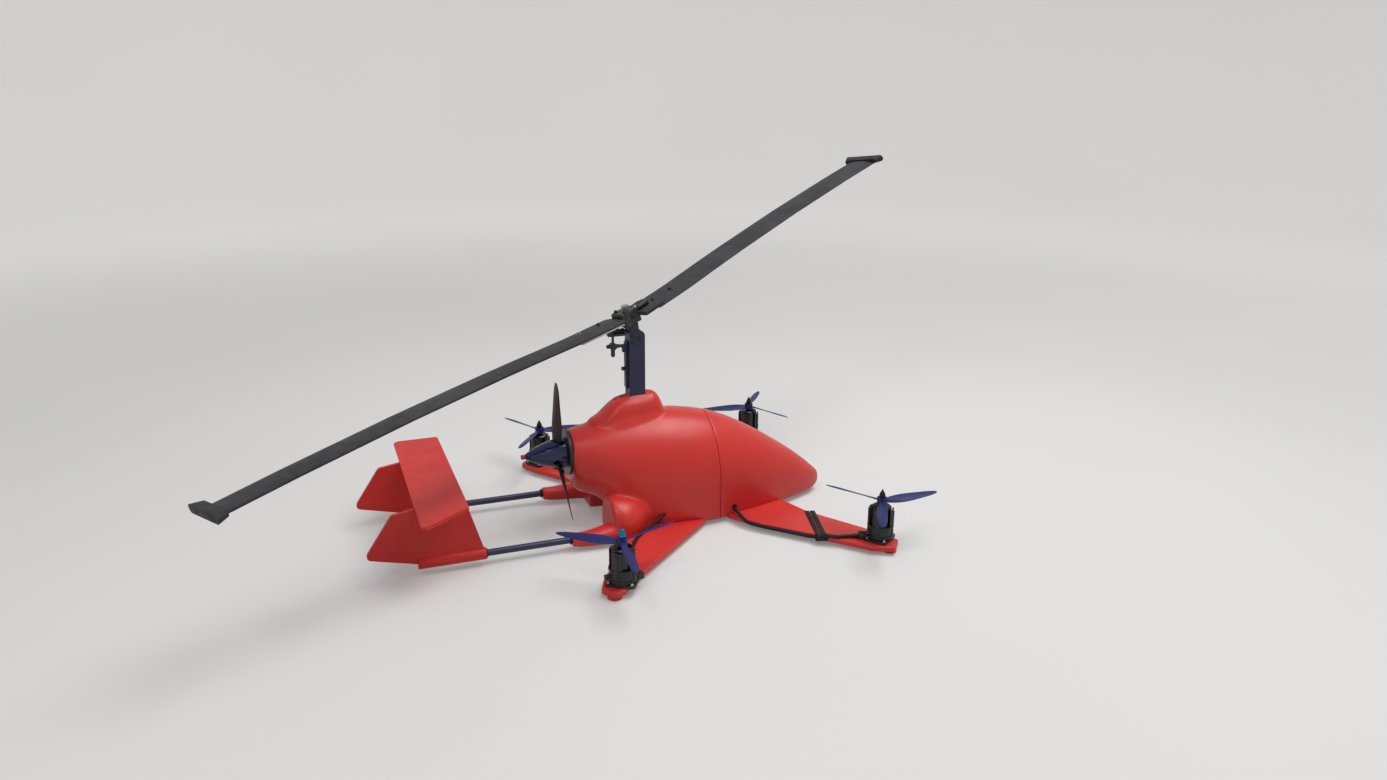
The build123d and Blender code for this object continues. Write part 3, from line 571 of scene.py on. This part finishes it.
def model_cap_screw(radius, height, finish):
    """A cap screw's head with a rounded rim and a socket, on its washer."""
    washer_radius, washer_edge, washer_height = 1.45 * radius, 0.45 * radius, 0.3 * height
    head_height, rim_width, rim_height = 0.85 * height, 0.16 * radius, 0.12 * radius
    wall, socket_depth = 0.3 * radius, 0.5 * height
    screw = fresh(
        bpy.ops.mesh.primitive_cylinder_add,
        vertices=24,
        radius=washer_radius,
        depth=washer_height,
        location=(0, 0, 0),
    )
    bpy.ops.object.mode_set(mode="EDIT")
    pick_ends(screw)
    bpy.ops.mesh.inset(thickness=washer_edge)
    draw_out(head_height)
    bpy.ops.mesh.inset(thickness=rim_width)
    bpy.ops.transform.translate(value=(0, 0, rim_height))
    bpy.ops.mesh.inset(thickness=wall)
    draw_out(-socket_depth)
    bpy.ops.object.mode_set(mode="OBJECT")
    return set_down(screw, "cap_screw", finish)


def model_hex_nut(radius, bore, height, finish):
    """A hexagon nut with softened corners and a bore."""
    corner, wall, bore_depth = 0.1 * radius, 0.8 * (radius - bore), 0.35 * height
    nut = fresh(
        bpy.ops.mesh.primitive_cylinder_add, vertices=6, radius=radius, depth=height, location=(0, 0, 0)
    )
    soften(nut, corner)
    bpy.ops.object.mode_set(mode="EDIT")
    for sense in (1, -1):
        pick_ends(nut, sense, flatness=0.99)
        bpy.ops.mesh.inset(thickness=wall)
        draw_out(-sense * bore_depth)
    bpy.ops.object.mode_set(mode="OBJECT")
    return set_down(nut, "hex_nut", finish, 25.0)


def model_ring(inner, outer, depth, finish):
    """A rounded ring along the upright axis, turned from a small square section."""
    middle, thick = (inner + outer) / 2, outer - inner
    ring = fresh(
        bpy.ops.mesh.primitive_plane_add, size=1.0, location=(middle, 0, 0), rotation=(math.pi / 2, 0, 0)
    )
    ring.scale = (thick, depth, 1.0)
    settle()
    bpy.ops.object.mode_set(mode="EDIT")
    bpy.ops.mesh.select_all(action="SELECT")
    bpy.ops.mesh.spin(steps=36, angle=2 * math.pi, center=(0, 0, 0), axis=(0, 0, 1))
    bpy.ops.mesh.select_all(action="SELECT")
    bpy.ops.mesh.remove_doubles(threshold=0.000005)
    bpy.ops.mesh.normals_make_consistent(inside=False)
    bpy.ops.object.mode_set(mode="OBJECT")
    soften(ring, 0.3 * min(thick, depth))
    return set_down(ring, "ring", finish)


def model_block(size, rounding, name, finish, place):
    """A small block with rounded edges."""
    block = fresh(bpy.ops.mesh.primitive_cube_add, size=1.0)
    block.scale = size
    settle()
    soften(block, rounding, 3)
    set_down(block, name, finish)
    block.data.transform(place)
    return block


# The rotor's head


def blade_point(radius, across, rise, sense):
    """A point on a blade: out from the hub, across it and above its middle. Also its way out and up."""
    outward = BLADE_LINE * (sense * math.cos(BLADE_CONING)) + SPINDLE * math.sin(BLADE_CONING)
    up = SPINDLE * math.cos(BLADE_CONING) - BLADE_LINE * (sense * math.sin(BLADE_CONING))
    return HUB + outward * radius + BLADE_ACROSS * (sense * across) + up * rise, outward, up


def build_head_screws():
    """Screws on the hub's block and on the blades' roots. Two of them are bright steel among black ones,
    which paints a glint on each.
    """
    # Columns: distance out from the hub, and whether the rear blade's screw there is bright steel, which
    # paints a glint on it
    blade_screws = ((0.0400, False), (0.0715, True))
    along, across, block_top = 0.0090, 0.0076, 0.0082
    screw_across, blade_top = -0.008, 0.0024
    # The hub screw at this corner is bright steel among black ones, which paints a glint on it.
    glint_corner = (1, -1)
    screw = model_cap_screw(radius=0.0021, height=0.0022, finish=FINISHES["steel"])
    black_screw = model_cap_screw(radius=0.0021, height=0.0022, finish=FINISHES["fitting_black"])
    pieces = []
    for lengthwise in (-1, 1):
        for sideways in (-1, 1):
            foot = HUB + BLADE_LINE * (lengthwise * along) + BLADE_ACROSS * (sideways * across)
            foot += SPINDLE * block_top
            chosen = screw if (lengthwise, sideways) == glint_corner else black_screw
            pieces.append(copy_to(chosen, "hub_block_screw", stand_at(foot, SPINDLE, BLADE_LINE)))
    for sense in (1, -1):
        for radius, bright in blade_screws:
            foot, outward, up = blade_point(radius, screw_across, blade_top, sense)
            # Bright steel on the rear blade's outer screw paints a glint there; the other blade screws are
            # black.
            chosen = screw if sense < 0 and bright else black_screw
            pieces.append(copy_to(chosen, "blade_screw", stand_at(foot, up, outward)))
    for spare in (screw, black_screw):
        bpy.data.objects.remove(spare)
    return pieces


def build_forward_grip():
    """The forward blade's thick root, and on it a thin plate that is arched across the blade."""
    root_size, root_rounding = (0.0330, 0.0400, 0.0052), 0.0014
    plate_size, plate_rounding, arch = (0.0180, 0.0190, 0.0022), 0.0009, math.radians(34)
    foot, outward, up = blade_point(0.0245, -0.0061, 0.0003, 1)
    place = stand_at(foot, up, outward)
    root = model_block(root_size, root_rounding, "blade_root", FINISHES["blade_grey"], place)
    plate = model_block(plate_size, plate_rounding, "grip_plate", FINISHES["bell_metal"], Matrix())
    only(plate)
    bend = plate.modifiers.new("arch", "SIMPLE_DEFORM")
    bend.deform_method = "BEND"
    bend.deform_axis = "X"
    bend.angle = arch
    bpy.ops.object.modifier_apply(modifier=bend.name)
    foot, outward, up = blade_point(0.0200, -0.0030, 0.0052, 1)
    plate.data.transform(stand_at(foot, up, outward))
    return [root, plate]


def build_hub_lugs():
    """Two lugs on the hub's block and a pin's head on each of its sides."""
    dark = FINISHES["fitting_black"]
    lug_size, lug_rounding, pin_out = (0.0075, 0.0200, 0.0100), 0.0018, 0.0110
    pieces = []
    lug = model_block(lug_size, lug_rounding, "hub_lug", dark, Matrix())
    for along, rise in ((-0.0125, 0.0035), (0.0105, 0.0030)):
        place = HUB + BLADE_LINE * along + SPINDLE * rise
        pieces.append(copy_to(lug, "hub_lug", stand_at(place, SPINDLE, BLADE_LINE)))
    pin = model_cap_screw(radius=0.0026, height=0.0024, finish=dark)
    for sense in (1, -1):
        face = HUB + BLADE_ACROSS * (sense * pin_out)
        pieces.append(copy_to(pin, "hub_pin", stand_at(face, BLADE_ACROSS * sense, BLADE_LINE)))
    for spare in (lug, pin):
        bpy.data.objects.remove(spare)
    return pieces


def build_rotor_head():
    """The small pieces of the rotor's head, which all turn with it."""
    for piece in build_head_screws() + build_forward_grip() + build_hub_lugs():
        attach(piece, "main_rotor")


# The mast, the motors and the booms


def build_mast_fittings():
    """Screws on the mast, the knob on its rail, and the clamp, nuts and spikes of the control link."""
    dark = FINISHES["fitting_black"]
    knob_place = Vector((MAST_REAR - 0.0020, 0.0, 0.1950))
    clamp_size, clamp_rounding, clamp_place = (0.0220, 0.0080, 0.0070), 0.0014, (-0.0285, 0.0, 0.2400)
    horn_top, link_top = 0.2440, 0.2385
    spike_radius, point_length, point_narrowing = 0.0025, 0.0014, 0.45
    pieces = []
    screw = model_cap_screw(radius=0.0018, height=0.0018, finish=dark)
    for side in (1, -1):
        for x, level in ((-0.0095, 0.2365), (-0.0015, 0.2330), (-0.0095, 0.2270)):
            foot = Vector((x, side * MAST_HALF_WIDTH, level))
            pieces.append(copy_to(screw, "mast_screw", stand_at(foot, (0, side, 0), UP)))
    bpy.data.objects.remove(screw)
    knob = model_hex_nut(radius=0.0026, bore=0.0010, height=0.0046, finish=dark)
    knob.data.transform(stand_at(knob_place, BACK, UP))
    knob.name = "rail_knob"
    pieces.append(knob)
    nut = model_hex_nut(radius=0.0029, bore=0.0013, height=0.0026, finish=FINISHES["nut_black"])
    place = Matrix.Translation(clamp_place)
    pieces.append(model_block(clamp_size, clamp_rounding, "horn_clamp", dark, place))
    for x in (-0.0205, -0.0265):
        pieces.append(copy_to(nut, "horn_nut", stand_at(Vector((x, 0.0, horn_top)), UP)))
    pieces.append(copy_to(nut, "link_nut", stand_at(Vector((LINK_X, 0.0, link_top)), UP)))
    bpy.data.objects.remove(nut)
    for way, reach in ((AHEAD, 0.0068), (BACK, 0.0068), (DOWN, 0.0120)):
        spike = fresh(
            bpy.ops.mesh.primitive_cylinder_add,
            vertices=20,
            radius=spike_radius,
            depth=reach,
            location=(0, 0, reach / 2),
        )
        bpy.ops.object.mode_set(mode="EDIT")
        pick_ends(spike)
        draw_out(point_length, point_narrowing)
        bpy.ops.object.mode_set(mode="OBJECT")
        set_down(spike, "link_spike", dark)
        spike.data.transform(stand_at(Vector((LINK_X, 0.0, LINK_LEVEL)), way, PORT))
        pieces.append(spike)
    for piece in pieces:
        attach(piece, "airframe")


def build_motor_fittings():
    """Screws on the cups' bases and terminals, a rim and ribs on each cup, and the cables' sleeves."""
    cup_black = FINISHES["cup_black"]
    screw_along, screw_across, base_top = 0.0105, 0.0130, 0.0032
    rim_levels = (0.0060, 0.0180)
    rib_count, first_rib, rib_out, rib_level = 4, 45, 0.0147, 0.0215
    terminal_top, mouth_out, mouth_level = 0.0071, 0.0092, 0.0023
    terminal_screws = (-0.0034, 0.0, 0.0034)
    pieces = []
    screw = model_cap_screw(radius=0.0018, height=0.0017, finish=FINISHES["steel"])
    small_screw = model_cap_screw(radius=0.0011, height=0.0009, finish=FINISHES["nut_black"])
    rim = model_ring(inner=0.0144, outer=0.0156, depth=0.0030, finish=cup_black)
    sleeve = model_ring(inner=0.0021, outer=0.0029, depth=0.0070, finish=FINISHES["cable_black"])
    rib = model_block((0.0016, 0.0040, 0.0330), 0.0006, "cup_rib", cup_black, Matrix())
    for end, hand, side in MOTOR_PLACES:
        name = f"{end}_{hand}"
        motor_x, motor_side, heading, terminal_x, terminal_side, leaving = MOTOR_ENDS[end]
        centre = Vector((motor_x, side * motor_side, ARM_TOP))
        ahead = level_way(side * heading)
        aside = Vector((-ahead.y, ahead.x, 0))
        for along in (screw_along, -screw_along):
            for across in (screw_across, -screw_across):
                foot = centre + ahead * along + aside * across + UP * base_top
                pieces.append(copy_to(screw, f"cup_screw_{name}", stand_at(foot, UP, ahead)))
        for level in rim_levels:
            pieces.append(copy_to(rim, f"cup_rim_{name}", Matrix.Translation(centre + UP * level)))
        for step in range(rib_count):
            out = level_way(first_rib + 360 / rib_count * step)
            place = centre + out * rib_out + UP * rib_level
            pieces.append(copy_to(rib, f"cup_rib_{name}", stand_at(place, UP, out)))
        lead = level_way(side * leaving)
        block = Vector((motor_x + terminal_x, side * (motor_side + terminal_side), ARM_TOP))
        for offset in terminal_screws:
            foot = block + lead * offset + UP * terminal_top
            pieces.append(copy_to(small_screw, f"terminal_screw_{name}", stand_at(foot, UP, lead)))
        mouth = block + lead * mouth_out + UP * mouth_level
        pieces.append(copy_to(sleeve, f"cable_sleeve_{name}", stand_at(mouth, lead, UP)))
    for spare in (screw, small_screw, rim, sleeve, rib):
        bpy.data.objects.remove(spare)
    for piece in pieces:
        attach(piece, "airframe")


def build_collars():
    """Rubber rings where the booms enter sockets and fins, and where the front cables leave the pod."""
    rubber = FINISHES["cable_black"]
    collar_out = 0.0008
    mouth_x, mouth_side, mouth_level = 0.1042, 0.0622, 0.0185
    lean_ahead, lean_up = 0.02, -0.19
    pieces = []
    collar = model_ring(inner=0.0040, outer=0.0054, depth=0.0018, finish=rubber)
    grommet = model_ring(inner=0.0022, outer=0.0040, depth=0.0022, finish=rubber)
    for side in (-1, 1):
        for x in (SOCKET_END - collar_out, FIN_FRONT + collar_out):
            place = stand_at(Vector((x, side * BOOM_SIDE, BOOM_LEVEL)), AHEAD, UP)
            pieces.append(copy_to(collar, "boom_collar", place))
        mouth = Vector((mouth_x, side * mouth_side, mouth_level))
        pieces.append(copy_to(grommet, "cable_grommet", stand_at(mouth, (lean_ahead, side, lean_up), UP)))
    for spare in (collar, grommet):
        bpy.data.objects.remove(spare)
    for piece in pieces:
        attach(piece, "airframe")


# The webbing round the front arms


def model_band(corners, to_edge, thickness):
    """A band of webbing drawn out along the corners of its middle line, which to_edge leads away from."""
    turn_radius, turn_segments, turn_angle, edge_radius = 0.0011, 3, 20, 0.0002
    band = fresh(bpy.ops.mesh.primitive_plane_add, size=1.0)
    first, second = corners[:2]
    ends = (first - to_edge, first + to_edge, second - to_edge, second + to_edge)
    for vertex, spot in zip(band.data.vertices, ends):
        vertex.co = spot
        vertex.select = vertex.index in (2, 3)
    for edge in band.data.edges:
        edge.select = set(edge.vertices) == {2, 3}
    for polygon in band.data.polygons:
        polygon.select = False
    bpy.ops.object.mode_set(mode="EDIT")
    bpy.ops.mesh.select_mode(type="EDGE")
    for before, after in zip(corners[1:], corners[2:]):
        bpy.ops.mesh.extrude_edges_move(TRANSFORM_OT_translate={"value": tuple(after - before)})
    bpy.ops.mesh.select_all(action="SELECT")
    bpy.ops.mesh.remove_doubles(threshold=0.00002)
    bpy.ops.mesh.normals_make_consistent(inside=False)
    bpy.ops.object.mode_set(mode="OBJECT")
    soften(band, turn_radius, turn_segments, turn_angle)
    body = band.modifiers.new("body", "SOLIDIFY")
    body.thickness = thickness
    body.offset = 0.0
    bpy.ops.object.modifier_apply(modifier=body.name)
    soften(band, edge_radius)
    return set_down(band, "arm_strap", FINISHES["strap_black"])


def build_straps():
    """Two bands of black webbing round each front arm, which hold the cable to its edge."""
    width, thickness, spacing = 0.0058, 0.0011, 0.0070
    front_edge, rear_edge = Vector((0.1955, 0.0925, 0.0)), Vector((0.1760, 0.1610, 0.0))
    reach = (rear_edge - front_edge).length
    # Columns: way across the arm from its front edge, and height
    route = (
        (0.0040, 0.0043),
        (-0.0007, 0.0043),
        (-0.0007, 0.0116),
        (reach - 0.0030, 0.0117),
        (reach + 0.0010, 0.0143),
        (reach + 0.0042, 0.0138),
        (reach + 0.0056, 0.0105),
        (reach + 0.0050, 0.0062),
        (reach - 0.0010, 0.0043),
        (0.0040, 0.0043),
    )
    for side in (-1, 1):
        start = Vector((front_edge.x, side * front_edge.y, 0.0))
        ahead = (Vector((rear_edge.x, side * rear_edge.y, 0.0)) - start).normalized()
        aside = Vector((ahead.y, -ahead.x, 0.0)) * side
        for shift in (-spacing / 2, spacing / 2):
            corners = [start + aside * shift + ahead * along + UP * level for along, level in route]
            band = model_band(corners, aside * (width / 2), thickness)
            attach(band, "airframe")


# Pieces that take a solid's place


def build_spinner_cap():
    """The red button on the spinner's point."""
    radius, length = 0.0031, 0.0056
    low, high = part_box("spinner_tip")
    middle = (low + high) / 2
    cap = fresh(bpy.ops.mesh.primitive_cylinder_add, vertices=32, radius=radius, depth=length)
    soften(cap, 0.7 * radius, 5)
    set_down(cap, "spinner_cap", FINISHES["tip_red"], 60.0)
    cap.data.transform(stand_at(Vector((low.x + length / 2, middle.y, middle.z)), BACK, UP))
    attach(cap, "pusher")
    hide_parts("spinner_tip")


def build_lock_nut():
    """The tall bright nut with a domed top on the near rear motor."""
    radius, corner = 0.0042, 0.0003
    low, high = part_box("prop_nut_rear_right")
    height = high.z - low.z
    body_height, step_in = 0.62 * height, 0.18 * radius
    nut = fresh(bpy.ops.mesh.primitive_cylinder_add, vertices=6, radius=radius, depth=body_height)
    bpy.ops.object.mode_set(mode="EDIT")
    pick_ends(nut)
    bpy.ops.mesh.inset(thickness=step_in)
    # Columns: share of the height that a ring of the dome rises, and how it narrows
    for rise, narrowing in ((0.22, 0.96), (0.10, 0.82), (0.05, 0.55)):
        draw_out(rise * height, narrowing)
    bpy.ops.object.mode_set(mode="OBJECT")
    soften(nut, corner)
    set_down(nut, "lock_nut", FINISHES["nut_cyan"], 30.0)
    middle = ((low.x + high.x) / 2, (low.y + high.y) / 2, low.z + body_height / 2)
    nut.data.transform(Matrix.Translation(middle))
    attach(nut, "lift_rotor_rear_right")
    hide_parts("prop_nut_rear_right")


def share_of(distance, run):
    """How far along a run a distance is, from 0 to 1."""
    return min(1.0, max(0.0, distance / run))


def ease_weight(spot):
    """How far the pod's skin is eased at a point: at the fairing, the shoulders and the nose's tip."""
    if spot.z < BELLY_BAND or abs(spot.x - SEAM_X) < SEAM_BAND:
        return 0.0
    weights = [LEAST_EASE, share_of(spot.x - TIP_START, TIP_RUN)]
    if spot.x < FAIRING_END:
        weights.append(share_of(spot.z - FAIRING_FOOT, FAIRING_RUN))
    if spot.z < SHOULDER_TOP and abs(spot.y) > SHOULDER_SIDE:
        weights.append(SHOULDER_EASE * share_of(SHOULDER_RUN - spot.x, SHOULDER_RUN))
    return max(weights)


def close_mast_pocket(skin):
    """Joins a block to the rear shell's skin, where the mast stands in its pocket."""
    plug = fresh(bpy.ops.mesh.primitive_cube_add, size=1.0, location=MAST_PLUG_PLACE)
    plug.scale = MAST_PLUG_SIZE
    settle()
    skin.select_set(True)
    bpy.context.view_layer.objects.active = skin
    bpy.ops.object.join()


def build_pod_skins():
    """The pod's two shells with eased creases at the fairing and shoulders, and a rounded nose."""
    for node, name in (("fuselage_rear", "pod_skin_rear"), ("nose_shell", "pod_skin_nose")):
        shell = frame["nodes"][node]
        skin = shell.copy()
        skin.data = shell.data.copy()
        bpy.context.scene.collection.objects.link(skin)
        skin.parent = None
        if node == "fuselage_rear":
            close_mast_pocket(skin)
        only(skin)
        bpy.ops.object.mode_set(mode="EDIT")
        bpy.ops.mesh.select_all(action="SELECT")
        bpy.ops.mesh.remove_doubles(threshold=0.00001)
        bpy.ops.object.mode_set(mode="OBJECT")
        even = skin.modifiers.new("even_mesh", "REMESH")
        even.mode = "VOXEL"
        even.voxel_size = SKIN_VOXEL
        bpy.ops.object.modifier_apply(modifier=even.name)
        creases = skin.vertex_groups.new(name="creases")
        for vertex in skin.data.vertices:
            creases.add([vertex.index], ease_weight(vertex.co), "REPLACE")
        ease = skin.modifiers.new("ease", "SMOOTH")
        ease.factor = 0.5
        ease.iterations = EASE_STEPS
        ease.vertex_group = creases.name
        bpy.ops.object.modifier_apply(modifier=ease.name)
        set_down(skin, name, FINISHES["pod_red"], 50.0)
        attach(skin, "airframe")
        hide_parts(node)


# Stage, light and camera


def floor_finish():
    """A pale matt floor, which the camera and gloss see the paler, the farther out it is."""
    glow, glow_from, glow_to = (1.0, 0.995, 0.985, 1.0), 1.0, 3.0
    near_glow, far_glow = 0.17, 0.40
    material, tree, shader = start_finish("studio_floor")
    place = object_place(tree)
    faint = ramp_node(tree, noise_node(tree, place, scale=1.3, detail=2.0), low=0.3, high=0.7)
    base = mix_colour(tree, faint, (0.60, 0.596, 0.588), (0.575, 0.572, 0.567))
    tree.links.new(base, shader.inputs["Base Color"])
    shader.inputs["Roughness"].default_value = 0.75
    shader.inputs["Specular IOR Level"].default_value = 0.25
    distance = vector_node(tree, "LENGTH", place).outputs["Value"]
    seen = tree.nodes.new("ShaderNodeLightPath")
    either = math_node(tree, "MAXIMUM", seen.outputs["Is Camera Ray"], seen.outputs["Is Glossy Ray"])
    lift = ramp_node(tree, distance, glow_from, glow_to, near_glow, far_glow)
    shader.inputs["Emission Color"].default_value = glow
    tree.links.new(math_node(tree, "MULTIPLY", lift, either), shader.inputs["Emission Strength"])
    return material


def build_stage():
    """A pale round floor whose rim curves up into a plain wall."""
    floor_radius, curve_radius, wall_height, steps = 3.4, 1.2, 2.2, 10
    floor = fresh(
        bpy.ops.mesh.primitive_circle_add,
        vertices=128,
        radius=floor_radius,
        fill_type="NGON",
        location=(0, 0, 0),
    )
    floor.name = "stage_floor"
    rings = []
    for step in range(1, steps + 1):
        turn = math.pi / 2 * step / steps
        rings.append((floor_radius + curve_radius * math.sin(turn), curve_radius * (1 - math.cos(turn))))
    rings.append((floor_radius + curve_radius, curve_radius + wall_height))
    bpy.ops.object.mode_set(mode="EDIT")
    bpy.ops.mesh.select_mode(type="EDGE")
    bpy.ops.mesh.select_all(action="SELECT")
    reach, height = floor_radius, 0.0
    for wide, high in rings:
        bpy.ops.mesh.extrude_edges_move(TRANSFORM_OT_translate={"value": (0, 0, high - height)})
        bpy.ops.transform.resize(value=(wide / reach, wide / reach, 1), center_override=(0, 0, high))
        reach, height = wide, high
    bpy.ops.mesh.select_all(action="SELECT")
    bpy.ops.mesh.normals_make_consistent(inside=True)
    bpy.ops.object.mode_set(mode="OBJECT")
    bpy.ops.object.shade_smooth_by_angle(angle=math.radians(40))
    floor.data.materials.append(floor_finish())


def build_lights():
    """A broad lamp above and ahead, two weaker ones above the camera's side, and an even world."""
    target = Vector((0.0, 0.0, 0.1))
    world_strength = 0.45
    # Columns: name, place, width and height of the lamp, and its power in watts
    lamps = (
        ("overhead_lamp", (0.70, -0.25, 1.95), (1.5, 1.1), 26.5),
        ("camera_side_lamp", (-1.6, -2.0, 1.7), (1.6, 1.6), 2.0),
        ("small_lamp", (-0.9, -1.0, 1.9), (0.5, 0.5), 5.0),
    )
    for name, place, size, power in lamps:
        lamp = bpy.data.lights.new(name, "AREA")
        lamp.shape = "RECTANGLE"
        lamp.size, lamp.size_y = size
        lamp.energy = power
        holder = bpy.data.objects.new(name, lamp)
        holder.location = place
        holder.rotation_euler = (target - Vector(place)).to_track_quat("-Z", "Y").to_euler()
        bpy.context.scene.collection.objects.link(holder)
    world = bpy.data.worlds.new("soft_world")
    world.use_nodes = True
    world.node_tree.nodes["Background"].inputs["Color"].default_value = (1.0, 1.0, 1.0, 1.0)
    world.node_tree.nodes["Background"].inputs["Strength"].default_value = world_strength
    bpy.context.scene.world = world


def build_camera():
    """The photograph's view: from the starboard side, a little behind and above."""
    place, focal_length, sensor_width = (-0.3861, -1.1718, 0.545), 27.07, 36.0
    heading, tilt, roll = math.radians(-21.38), math.radians(72.9), math.radians(0.46)
    lens = bpy.data.cameras.new("photo_view")
    lens.sensor_width = sensor_width
    lens.lens = focal_length
    lens.clip_start = 0.01
    camera = bpy.data.objects.new("photo_view", lens)
    bpy.context.scene.collection.objects.link(camera)
    camera.matrix_world = (
        Matrix.Translation(place)
        @ Matrix.Rotation(heading, 4, "Z")
        @ Matrix.Rotation(tilt, 4, "X")
        @ Matrix.Rotation(roll, 4, "Z")
    )
    bpy.context.scene.camera = camera


bpy.context.scene.view_settings.view_transform = "Standard"
dress_nodes()
build_rotor_head()
build_mast_fittings()
build_motor_fittings()
build_collars()
build_straps()
build_spinner_cap()
build_lock_nut()
build_pod_skins()
build_stage()
build_lights()
build_camera()
